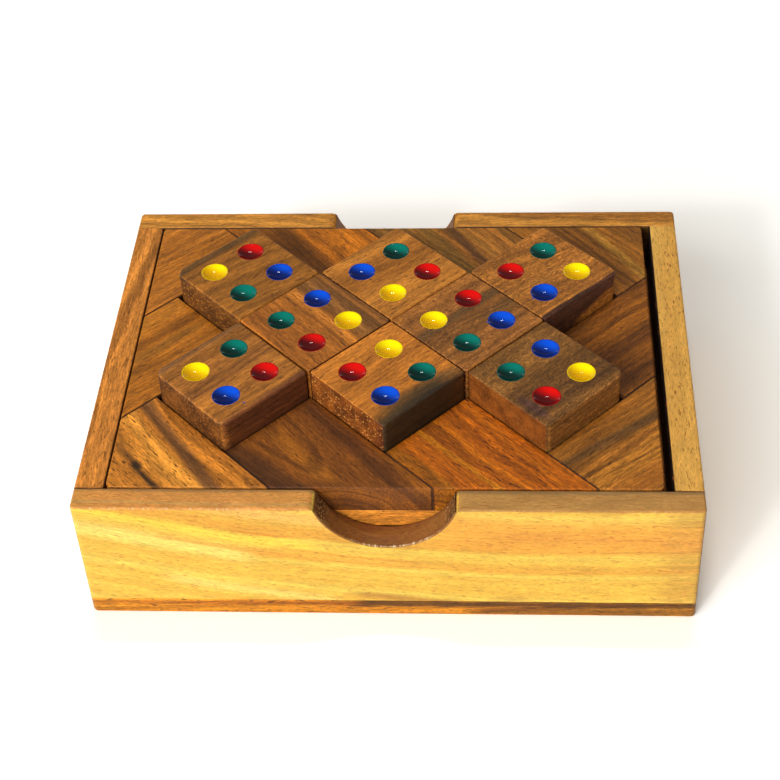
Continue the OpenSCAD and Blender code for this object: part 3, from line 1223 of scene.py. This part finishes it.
# A bound beyond the board's edge, where the strip ends with the board.
PAST = 6.0
STRIPS = (
    Strip("back_left_corner", (-PAST, 0), (2, PAST), "strip_red_brown", Finish(
        tinted(HEARTWOOD, "#ad681b", "#be7322", "#c88129", flecks=0.1), Grain.ALONG_U, 31)),
    Strip("left_middle", (-PAST, -1), (1, 2), "strip_red_brown", Finish(
        tinted(HEARTWOOD, "#9d5c12", "#b46c1a", "#c67b21"), Grain.ALONG_U, 32, marks=(
            Streak("#855b1d", 8.5, 5.0, 0.5, start=-14.0, end=12.0),))),
    Strip("front_left_corner", (-PAST, -2), (-PAST, 1), "strip_golden", Finish(
        tinted(HEARTWOOD, "#b96e20", "#ce7f27", "#e19434", pores=0.8, pits=0.9),
        Grain.ALONG_V, 33, marks=(
            Streak("#754b25", 4.5, 6.5, 0.9, slope=-0.152),
            Streak("#835323", 17.3, 2.4, 0.7, start=2.0, end=14.0),
            Streak("#302514", 18.2, 2.2, 0.9, start=-9.0, end=4.0),
            Knot("#271d12", 3.7, 17.7, 6.5, 3.6)))),
    Strip("front_left", (-2, -1), (-PAST, 0), "strip_dark", Finish(
        tinted(HEARTWOOD, "#63360f", "#814811", "#975613", lines=0.34, band=9.0),
        Grain.ALONG_V, 34, heart=(9.0, -7.0), tilt=(0.0, 5.0), marks=(
            Streak("#532e0f", 19.0, 7.5, 0.85, slope=0.1),
            Streak("#a66315", 9.0, 7.0, 0.6, start=-12.0, end=13.0),
            Streak("#663812", -2.0, 3.0, 0.5)))),
    Strip("front_right", (-1, 0), (-PAST, -1), "strip_red_brown", Finish(
        tinted(HEARTWOOD, "#974b03", "#af5a05", "#c16d09", flecks=0.6,
               fleck_size=(5.0, 0.5), pores=0.85), Grain.ALONG_V, 35, marks=(
                   Streak("#7d4f0a", 21.0, 7.0, 0.6),
                   Streak("#c37d10", 10.5, 3.0, 0.5)))),
    Strip("front_right_corner", (0, PAST), (-PAST, -2), "strip_golden", Finish(
        tinted(HEARTWOOD, "#8c5719", "#a8671e", "#bd7824"), Grain.ALONG_U, 36, marks=(
            Streak("#6c4820", -4.2, 4.2, 0.85, slope=-0.165),
            Streak("#7a4d18", -10.8, 1.3, 0.7, slope=-0.16),
            Streak("#7a4d18", -13.6, 1.2, 0.7, slope=-0.16, start=-12.0),
            Streak("#bb6e1d", -21.0, 8.0, 0.5)))),
    Strip("right_middle", (1, PAST), (-2, -1), "strip_red_brown", Finish(
        tinted(HEARTWOOD, "#64370d", "#834b10", "#9e5c15", flecks=0.5),
        Grain.ALONG_U, 37, marks=(
            Streak("#61350d", -19.0, 8.0, 0.6),))),
    Strip("back_right_corner", (2, PAST), (-1, PAST), "strip_dark", Finish(
        tinted(HEARTWOOD, "#8a5519", "#9b601c", "#b16e20"), Grain.ALONG_V, 38, marks=(
            Streak("#bd8630", -12.7, 4.0, 0.7, slope=-0.15),
            Streak("#7d4d18", -21.0, 8.0, 0.5)))),
    Strip("back_right", (1, 2), (0, PAST), "strip_red_brown", Finish(
        tinted(HEARTWOOD, "#885c22", "#976525", "#bd7427"), Grain.ALONG_V, 39, marks=(
            Streak("#8a6528", -2.1, 7.0, 0.7, slope=-0.15),
            Streak("#684222", -7.5, 4.4, 0.85, slope=-0.2),
            Streak("#b97429", -16.0, 11.0, 0.7)))),
    Strip("back_left", (0, 1), (1, PAST), "strip_dark", Finish(
        tinted(HEARTWOOD, "#874e13", "#b16616", "#db7d19", wander=5.0), Grain.ALONG_V, 40, marks=(
            Streak("#7c480f", -2.0, 9.0, 0.8),
            Streak("#e38319", -15.0, 12.0, 0.75)))),
)


@dataclass
class Board:
    """The lift-out board: a panel with ten strips that frame the recess.

    Attributes:
        body: The body that it moves with.
        joint_gap: Half the width of the glue line between two strips.
        joint_r: Radius of a strip's top edges along the joints and the recess.
        joint_dirt: How far the dark of a joint goes into the wood.
        rim_r: Radius of the board's outer top edges.
        corner_r: Radius of its upright corners.
    """

    body: str = "board"
    joint_gap: float = 0.03
    joint_r: float = 0.16
    joint_dirt: float = 0.42
    rim_r: float = 0.5
    corner_r: float = 1.8

    def build(self) -> None:
        """Builds the strips and dresses the panel."""
        for strip in STRIPS:
            node = "strip_" + strip.name
            finish = replace(strip.finish, marks=strip.finish.marks + self._joints(strip, node_centre(node)))
            material = finish.material(node, node_centre(node))
            fit(self._strip(strip, node), node, self.body, material)
        panel = Finish(tinted(HEARTWOOD, "#ae641c", "#cd7e28", "#e69d41", flecks=0.6), Grain.ALONG_X, 51)
        dress("board_panel", panel.material("board_panel", node_centre("board_panel")))

    @staticmethod
    def pattern() -> tuple[Vector, float]:
        """Finds the middle of the tile pattern and the pitch of the tiles.

        Returns:
            The middle, at the tiles' foot, and the pitch, both in millimetres.
        """
        left, right = node_centre("tile_centre_left"), node_centre("tile_centre_right")
        middle = (left + right) / 2
        middle.z = node_box("tile_centre_left")[0].z
        return middle, (right - left).length / math.sqrt(2)

    def _joints(self, strip: Strip, centre: Vector) -> tuple[Face, ...]:
        """Darkens the strip's sawn sides, where glue and dust fill the joints.

        Args:
            strip: The strip.
            centre: Its node's middle.

        Returns:
            The marks.
        """
        middle, pitch = self.pattern()
        off = turned(-45) @ (middle - centre)
        marks = []
        for axis, bounds in enumerate((strip.u, strip.v)):
            for bound in bounds:
                if abs(bound) == PAST:
                    continue
                place = bound * pitch + off[axis]
                if strip.finish.grain is Grain.ALONG_U:
                    where = {"along": place} if axis == 0 else {"across": place}
                else:
                    where = {"across": -place} if axis == 0 else {"along": place}
                marks.append(Face("#1c0f08", depth=self.joint_dirt, **where))
        return tuple(marks)

    def _strip(self, strip: Strip, node: str) -> bpy.types.Object:
        """Saws a strip out of the board's outline.

        Args:
            strip: The strip.
            node: Its CAD node.

        Returns:
            The strip.
        """
        middle, pitch = self.pattern()
        low, high = node_box(node)
        panel_low, panel_high = node_box("board_panel")
        gap = self.joint_gap
        corner_low = middle + Vector((strip.u[0] * pitch + gap, strip.v[0] * pitch + gap, 0))
        corner_high = middle + Vector((strip.u[1] * pitch - gap, strip.v[1] * pitch - gap, 0))
        corner_low.z, corner_high.z = low.z, high.z
        bar = Workpiece.block(node + "_bar", corner_low, corner_high, turn=45, pivot=middle)
        for axis in (0, 1):
            away = Vector((0, 0, 0))
            away[axis] = 1
            bar.saw(panel_high, away)
            bar.saw(panel_low, -away)

        def radius(edge: Edge) -> float:
            """Gives the radius of the rounding on one of the strip's edges.

            Args:
                edge: The edge.

            Returns:
                The radius.
            """
            outer = [edge.at(i, panel_low[i], panel_high[i]) for i in (0, 1)]
            if edge.rise > 1:
                return self.corner_r if all(outer) else 0.0
            top_r = self.rim_r if any(outer) else self.joint_r
            return top_r if edge.at(2, high.z) else 0.0

        bar.round_edges(radius)
        return bar.finish()


# ---------------------------------------------------------------- tiles


@dataclass(frozen=True)
class Tile:
    """One of the eight loose tiles.

    Attributes:
        name: The tile's name, which its CAD node has after "tile_".
        dots: The colours of its left, back, right and front dots.
        slot: The record's material slot; not used.
        finish: How it is cut from its timber.
        corners: Radii of its left, back, right and front corners, as sanded.
        edge_r: Radius of its top edges.
    """

    name: str
    dots: tuple[str, str, str, str]
    slot: str
    finish: Finish
    corners: tuple[float, float, float, float] = (0.9, 1.6, 1.2, 0.9)
    edge_r: float = 0.4


TILES = (
    Tile("back_left", ("yellow", "red", "blue", "green"), "tile_red_brown", Finish(
        tinted(HEARTWOOD, "#8f5a1e", "#9f631f", "#b27228", end_dark="#402109", end_light="#b37329"),
        Grain.ALONG_U, 61, marks=(Streak("#644824", 14.0, 6.0, 0.8),)),
        corners=(3.2, 2.0, 0.9, 1.0), edge_r=0.7),
    Tile("back_middle", ("blue", "green", "red", "yellow"), "tile_red_brown", Finish(
        tinted(HEARTWOOD, "#ab6922", "#bf792b", "#d18732", lines=0.25), Grain.ALONG_U, 62),
        corners=(0.9, 2.0, 0.9, 0.8)),
    Tile("back_right", ("red", "green", "yellow", "blue"), "tile_speckled", Finish(
        tinted(CURLY, "#8f5721", "#a36524", "#b7752e"),
        Grain.ALONG_U, 63, marks=(
            Knot("#2448a8", -10.9, -6.2, 1.2, 0.9, 0.9),
            Streak("#48291e", -15.3, 2.2, 0.95, blur=0.4))),
        corners=(1.0, 2.0, 2.2, 0.8), edge_r=0.6),
    Tile("centre_left", ("green", "blue", "yellow", "red"), "tile_red_brown", Finish(
        tinted(HEARTWOOD, "#a5601e", "#b36a22", "#c47728"), Grain.ALONG_V, 64, marks=(
            Streak("#6a4a26", -9.0, 13.0, 0.72), Streak("#5d4224", -15.0, 5.0, 0.6))),
        corners=(0.7, 0.8, 0.7, 0.8), edge_r=0.3),
    Tile("centre_right", ("yellow", "red", "blue", "green"), "tile_dark", Finish(
        tinted(replace(CURLY, flecks=0.5), "#7d4f1f", "#9a6028", "#b8732a"),
        Grain.ALONG_U, 65, marks=(
            Knot("#2448a8", 3.3, -4.5, 0.9, 0.8, 0.9),
            Streak("#594022", 3.6, 5.0, 0.8),
            Streak("#634422", -2.5, 5.0, 0.6, start=4.0))),
        corners=(0.7, 0.8, 0.8, 0.8), edge_r=0.3),
    Tile("front_left", ("yellow", "green", "red", "blue"), "tile_red_brown", Finish(
        tinted(HEARTWOOD, "#9b5f25", "#b37028", "#c97d2e", lines=0.3, end_dark="#341705",
               end_light="#995b23"), Grain.ALONG_U, 66, marks=(
                   Knot("#1c4cb8", -5.0, -12.4, 1.0, 0.8, 0.95),
                   Streak("#885620", -0.5, 1.2, 0.6),
                   Streak("#885620", 3.6, 1.0, 0.6),
                   Streak("#572d1c", -16.2, 6.0, 0.9),
                   Streak("#60462f", 13.5, 6.0, 0.7))),
        corners=(3.0, 1.0, 0.9, 2.4), edge_r=0.8),
    Tile("front_middle", ("red", "yellow", "green", "blue"), "tile_golden", Finish(
        tinted(HEARTWOOD, "#b87021", "#c77826", "#d9872e", end_dark="#622608", end_light="#f1a452"),
        Grain.ALONG_U, 67, marks=(
            Streak("#604724", -11.0, 6.5, 0.75, slope=-0.12, start=-12.0, end=17.0, blur=0.9),
            Streak("#36301b", -16.0, 14.5, 0.92, end=10.0),
            Streak("#2f2211", -20.0, 14.0, 0.95, blur=0.4))),
        corners=(0.8, 0.8, 1.0, 1.2), edge_r=0.4),
    Tile("front_right", ("green", "blue", "yellow", "red"), "tile_dark", Finish(
        tinted(CURLY, "#633f19", "#784e1e", "#8a5b25", end_dark="#803f08",
               end_light="#a9651c", end_specks=0.3), Grain.ALONG_U, 68, marks=(
                   Face("#915f2a", across=-15.0, depth=0.3, strength=0.85),
                   Knot("#513430", -12.3, -7.5, 5.0, 13.0, 0.7),)),
        corners=(1.0, 0.9, 2.6, 1.6), edge_r=0.5),
)


# The dark line of dust and shade where a tile stands in the recess.
FOOT = Face("#150c07", up=-9.0, depth=0.45, strength=0.9)


@dataclass
class TileSet:
    """Eight square tiles with four enamelled dishes each.

    Attributes:
        cad_corner_r: Radius of the CAD tiles' upright corners.
        foot_r: Radius of a tile's bottom edges.
        swell: How far its finished sides stand out past the CAD's.
        widen: How far a finished dish's rim is wider than the CAD's.
        rim_r: Offset of the rounding on a dish's rim.
        paint_t: Thickness of the enamel at the bottom of a dish.
        lap: Width of the enamel on the flat round a dish.
        lacquer: How far the tops stay under the tiles' full height.
    """

    cad_corner_r: float = 1.5
    foot_r: float = 0.35
    swell: float = 0.1
    widen: float = 0.2
    rim_r: float = 0.22
    paint_t: float = 0.3
    lap: float = 0.15
    lacquer: float = 0.08

    def build(self) -> None:
        """Builds the tiles, then their enamels."""
        low, high = node_box("dot_centre_left_red")
        self.top = high.z - self.lacquer
        self.dish_rim_r = (high.x - low.x) / 2 + self.widen
        self.dish_depth = high.z - low.z
        self.dish_r = (self.dish_rim_r ** 2 + self.dish_depth ** 2) / (2 * self.dish_depth)
        paints = {name: enamel.material(name, self.top) for name, enamel in ENAMELS.items()}
        low, high = node_box("tile_centre_left")
        # A tile stands on its corner, so its box's width runs over two corners that are rounded off.
        side = ((high.x - low.x) + 2 * self.cad_corner_r * (math.sqrt(2) - 1)) / math.sqrt(2) + 2 * self.swell
        self.half = Vector((side / 2, side / 2, (high.z - low.z) / 2))
        self.dots = [node_centre("dot_centre_left_" + colour) - node_centre("tile_centre_left")
                     for colour in ("green", "blue", "yellow", "red")]
        cutter = self._dish_cutter()
        chance = random.Random(17)
        for tile in TILES:
            node, body = "tile_" + tile.name, "piece_" + tile.name
            block = self._tile(cutter, tile)
            finish = replace(tile.finish, marks=tile.finish.marks + (FOOT,))
            fit(block, node, body, finish.material(node, node_centre(node)))
            for colour in tile.dots:
                dot = f"dot_{tile.name}_{colour}"
                fit(self._enamel(dot, chance), dot, body, paints[colour])
        bpy.data.objects.remove(cutter.piece)

    def _dish_cutter(self) -> Workpiece:
        """Makes the four balls that cut a tile's dishes, round the origin as the tile's middle.

        Returns:
            The balls as one piece.
        """
        centres = [Vector((dot.x, dot.y, self.half.z + self.dish_r - self.dish_depth)) for dot in self.dots]
        balls = [Workpiece.ball("dish_cutter", centre, self.dish_r) for centre in centres]
        pick(*(ball.piece for ball in balls))
        bpy.ops.object.join()
        return balls[0]

    def _tile(self, cutter: Workpiece, tile: Tile) -> bpy.types.Object:
        """Saws one tile, sands its edges and turns its dishes.

        Args:
            cutter: The dishes' cutter.
            tile: The tile.

        Returns:
            The tile.
        """
        middle = node_centre("tile_" + tile.name)
        top = self.half.z - self.lacquer
        block = Workpiece.block(
            f"tile_{tile.name}_block", middle - self.half, middle + Vector((self.half.x, self.half.y, top)),
            turn=45, pivot=middle)

        def corner_radius(edge: Edge) -> float:
            """Gives the rounding of one of the tile's upright edges, and none elsewhere.

            Args:
                edge: The edge.

            Returns:
                The radius.
            """
            spot = edge.middle - middle
            if edge.rise < 1:
                return 0.0
            left, back, right, front = tile.corners
            if abs(spot.x) > abs(spot.y):
                return left if spot.x < 0 else right
            return back if spot.y > 0 else front

        def rim_radius(edge: Edge) -> float:
            """Gives the rounding of a dish's rim, and none elsewhere.

            Args:
                edge: The edge.

            Returns:
                The radius.
            """
            off = min((edge.middle - middle - dot).to_2d().length for dot in self.dots)
            on_top = min(edge.a.z, edge.b.z) > middle.z + top - NEAR
            return self.rim_r if on_top and off < self.dish_rim_r + 0.2 else 0.0

        block.round_edges(corner_radius, segments=6)
        block.round_edges(lambda edge: 0.0 if edge.rise > NEAR else (
            tile.edge_r if edge.a.z > middle.z else self.foot_r))
        block.cut(cutter.copy("dish_cut", middle))
        block.round_edges(rim_radius, segments=3)
        return block.finish()

    def _enamel(self, dot: str, chance: random.Random) -> bpy.types.Object:
        """Makes the coat of enamel in one dish, which laps unevenly over the rim.

        Args:
            dot: The dish's CAD node.
            chance: Source of the unevenness.

        Returns:
            The coat.
        """
        spot = node_centre(dot)
        bottom = node_box(dot)[0].z
        rim = Vector((spot.x, spot.y, self.top))
        coat = Workpiece.ball(dot + "_coat", Vector((spot.x, spot.y, bottom + self.dish_r)), self.dish_r)
        coat.saw(rim, Vector((0, 0, 1)), fill=False)
        coat.flange(
            rim, self.dish_rim_r, [self.lap * chance.uniform(0.9, 1.2) for _ in range(2)],
            Vector((chance.uniform(-0.06, 0.06), chance.uniform(-0.06, 0.06), 0)))

        def radius(edge: Edge) -> float:
            """Gives the rounding where the bowl turns over into the lap.

            Args:
                edge: The edge.

            Returns:
                The radius.
            """
            reach = max((end - spot).to_2d().length for end in (edge.a, edge.b))
            inner = min(edge.a.z, edge.b.z) > self.top - NEAR and reach < self.dish_rim_r + 0.02
            return self.rim_r if inner else 0.0

        coat.round_edges(radius, segments=3)
        piece = coat.piece
        thick = piece.vertex_groups.new(name="thick")
        for vertex in piece.data.vertices:
            rise = (vertex.co.z / MM - bottom) / self.dish_depth
            thick.add([vertex.index], min(max(1 - rise ** 2, 0.12), 1.0), "REPLACE")
        coat.modify("SOLIDIFY", thickness=self.paint_t * MM, offset=-1, vertex_group=thick.name)
        piece.vertex_groups.clear()
        return coat.finish()


# ---------------------------------------------------------------- studio


@dataclass
class Studio:
    """A pale table, a large soft light from the front left, a ceiling lamp, and the camera.

    Attributes:
        lens: Focal length on a 36 mm wide sensor.
        camera_place: Where the camera stands, in millimetres.
        camera_turn: How it is turned, in degrees.
        key_azimuth: Degrees by which the key light comes from left of the front.
        key_height: Its height in degrees.
        key_away: Its distance in metres.
        key_size: Its width and height in metres.
        key_power: Its power in watts.
        bulb_power: Strength of the bulb that shows through its cloth.
        bulb_angle: How wide the bulb looks, in degrees.
        tube_power: Power of a short tube on the ceiling in watts.
        tube_size: Its width and depth in metres.
        tube_lean: Degrees by which it hangs back from straight overhead.
        tube_away: Its distance in metres.
        fill: Strength of the light from all round.
        fill_colour: Its colour.
        floor_colour: The table.
        floor_lift: How much paler the camera sees the table.
        floor_near: Distance from the box at which the table starts to turn plain white.
        floor_far: Distance at which it is.
    """

    lens: float = 81.0
    camera_place: tuple[float, float, float] = (30.9, -371.6, 371.9)
    camera_turn: tuple[float, float, float] = (47.07, 2.48, 2.80)
    key_azimuth: float = 33.0
    key_height: float = 30.0
    key_away: float = 2.4
    key_size: tuple[float, float] = (2.1, 1.75)
    key_power: float = 50.0
    bulb_power: float = 0.6
    bulb_angle: float = 7.0
    tube_power: float = 7.5
    tube_size: tuple[float, float] = (0.6, 0.12)
    tube_lean: float = -13.0
    tube_away: float = 2.0
    fill: float = 0.22
    fill_colour: str = "#fff4e4"
    floor_colour: str = "#f1f2f0"
    floor_lift: float = 1.66
    floor_near: float = 0.5
    floor_far: float = 1.5

    def build(self) -> None:
        """Sets up the floor, the lights, the world and the camera."""
        scene = bpy.context.scene
        scene.view_settings.view_transform = "Standard"
        self._floor()
        self._lights()
        self._world(scene)
        self._camera(scene)

    def _camera(self, scene: bpy.types.Scene) -> None:
        """Sets the camera at the photograph's angle.

        Args:
            scene: The scene.
        """
        data = bpy.data.cameras.new("camera")
        data.lens = self.lens
        data.sensor_width = 36.0
        data.clip_start = 0.01
        camera = bpy.data.objects.new("camera", data)
        camera.location = Vector(self.camera_place) * MM
        camera.rotation_euler = [math.radians(angle) for angle in self.camera_turn]
        scene.collection.objects.link(camera)
        scene.camera = camera

    @staticmethod
    def _light(kind: str, name: str, power: float, place: Vector, turn: Euler) -> bpy.types.Light:
        """Hangs a light.

        Args:
            kind: The light's type.
            name: Its name.
            power: Its power in watts, or a sun's strength.
            place: Where it hangs, in metres.
            turn: How it is turned.

        Returns:
            The light's data.
        """
        data = bpy.data.lights.new(name, kind)
        data.energy = power
        light = bpy.data.objects.new(name, data)
        light.location, light.rotation_euler = place, turn
        bpy.context.scene.collection.objects.link(light)
        return data

    def _lights(self) -> None:
        """Hangs the soft box at the front left, the bulb that shows through it, and the ceiling tube."""
        aside, up = math.radians(self.key_azimuth), math.radians(self.key_height)
        way = Vector((-math.sin(aside) * math.cos(up), -math.cos(aside) * math.cos(up), math.sin(up)))
        turn = way.to_track_quat("Z", "Y").to_euler()
        place = way * self.key_away
        bulb = self._light("SUN", "soft_box_bulb", self.bulb_power, place, turn)
        bulb.angle = math.radians(self.bulb_angle)
        box = self._light("AREA", "soft_box", self.key_power, place, turn)
        lean = math.radians(self.tube_lean)
        over = Vector((0, -math.sin(lean), math.cos(lean))) * self.tube_away
        tube = self._light("AREA", "ceiling_tube", self.tube_power, over, Euler((lean, 0, 0)))
        for data, size in ((box, self.key_size), (tube, self.tube_size)):
            data.shape = "RECTANGLE"
            data.size, data.size_y = size

    def _world(self, scene: bpy.types.Scene) -> None:
        """Lights the scene softly from all round, before a white backdrop.

        The camera and glossy surfaces see white near the horizon. Above it the ceiling stays dim.

        Args:
            scene: The scene.
        """
        world = bpy.data.worlds.new("studio")
        graph = Graph(world)
        path = graph.add("LightPath")
        source = graph.add("TexCoord")
        height = graph.add("SeparateXYZ", {0: source.outputs["Generated"]}).outputs["Z"]
        low = graph.ramp(height, 0.25, 0.05, smooth=True)
        glossy = graph.math("MULTIPLY", path.outputs["Is Glossy Ray"], low)
        seen = graph.math("MAXIMUM", path.outputs["Is Camera Ray"], glossy)
        soft = graph.add("Background", {"Color": linear(self.fill_colour), "Strength": self.fill})
        white = graph.add("Background", {"Color": linear("#ffffff"), "Strength": 1.0})
        graph.add("OutputWorld", {"Surface": graph.add("MixShader", {0: seen, 1: soft, 2: white})})
        scene.world = world

    def _floor(self) -> None:
        """Lays a plain pale table under the box."""
        deselect_all()
        bpy.ops.mesh.primitive_circle_add(vertices=96, radius=12.0, fill_type="NGON")
        floor = bpy.context.object
        floor.name = "floor"
        material = bpy.data.materials.new("painted_white_table")
        graph = Graph(material)
        path = graph.add("LightPath")
        camera = path.outputs["Is Camera Ray"]
        seen = graph.math("MAXIMUM", camera, path.outputs["Is Glossy Ray"])
        colour = graph.add("VectorMath", {
            0: linear(self.floor_colour)[:3], "Scale": graph.ramp(seen, 0.0, 1.0, 1.0, self.floor_lift)},
            operation="SCALE")
        paint = graph.add("BsdfDiffuse", {"Color": colour})
        # The lamps stand close, so the table's far end would go grey where a low camera sees it.
        away = graph.length(graph.add("TexCoord").outputs["Object"])
        far = graph.math("MULTIPLY", graph.ramp(away, self.floor_near, self.floor_far, smooth=True), camera)
        glow = graph.add("Emission", {"Color": linear("#ffffff")})
        graph.add("OutputMaterial", {"Surface": graph.add("MixShader", {0: far, 1: paint, 2: glow})})
        floor.data.materials.append(material)


def main() -> None:
    """Builds the box from the tray up, then the studio."""
    logging.basicConfig(level=logging.INFO, format="%(name)s: %(message)s")
    for part in (Tray(), Board(), TileSet(), Studio()):
        LOG.info("building %s", type(part).__name__)
        part.build()


if __name__ == "__main__":
    main()
